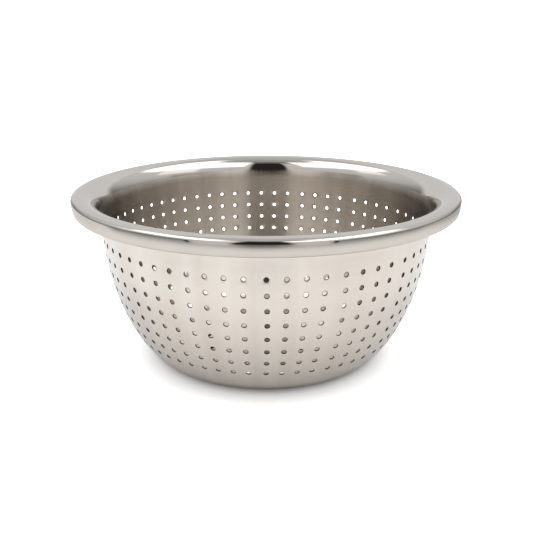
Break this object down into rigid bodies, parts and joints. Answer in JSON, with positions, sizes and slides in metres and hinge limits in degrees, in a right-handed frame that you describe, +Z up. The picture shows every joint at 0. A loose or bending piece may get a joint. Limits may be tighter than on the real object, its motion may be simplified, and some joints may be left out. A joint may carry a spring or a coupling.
{
  "type": "colander bowl",
  "caption": "Perforated steel colander bowl with a wide turned-down rim, plain collar, grouped rows of round holes and a raised drain panel in its flat base.",
  "frame": {"origin": "middle of the base, on the surface that the bowl stands on", "axes": "+Z up along the bowl's axis, -Y to the front as pictured, +X to the right"},
  "size_m": [0.24, 0.24, 0.1068],
  "materials": {
    "polished_steel": "polished",
    "satin_steel": "satin"
  },
  "bodies": {
    "root": {"rolled_rim": "polished_steel", "collar": "polished_steel", "upper_wall": "satin_steel", "lower_wall": "satin_steel", "heel": "satin_steel", "base_ring": "satin_steel", "drain_panel": "satin_steel"}
  },
  "joints": []
}
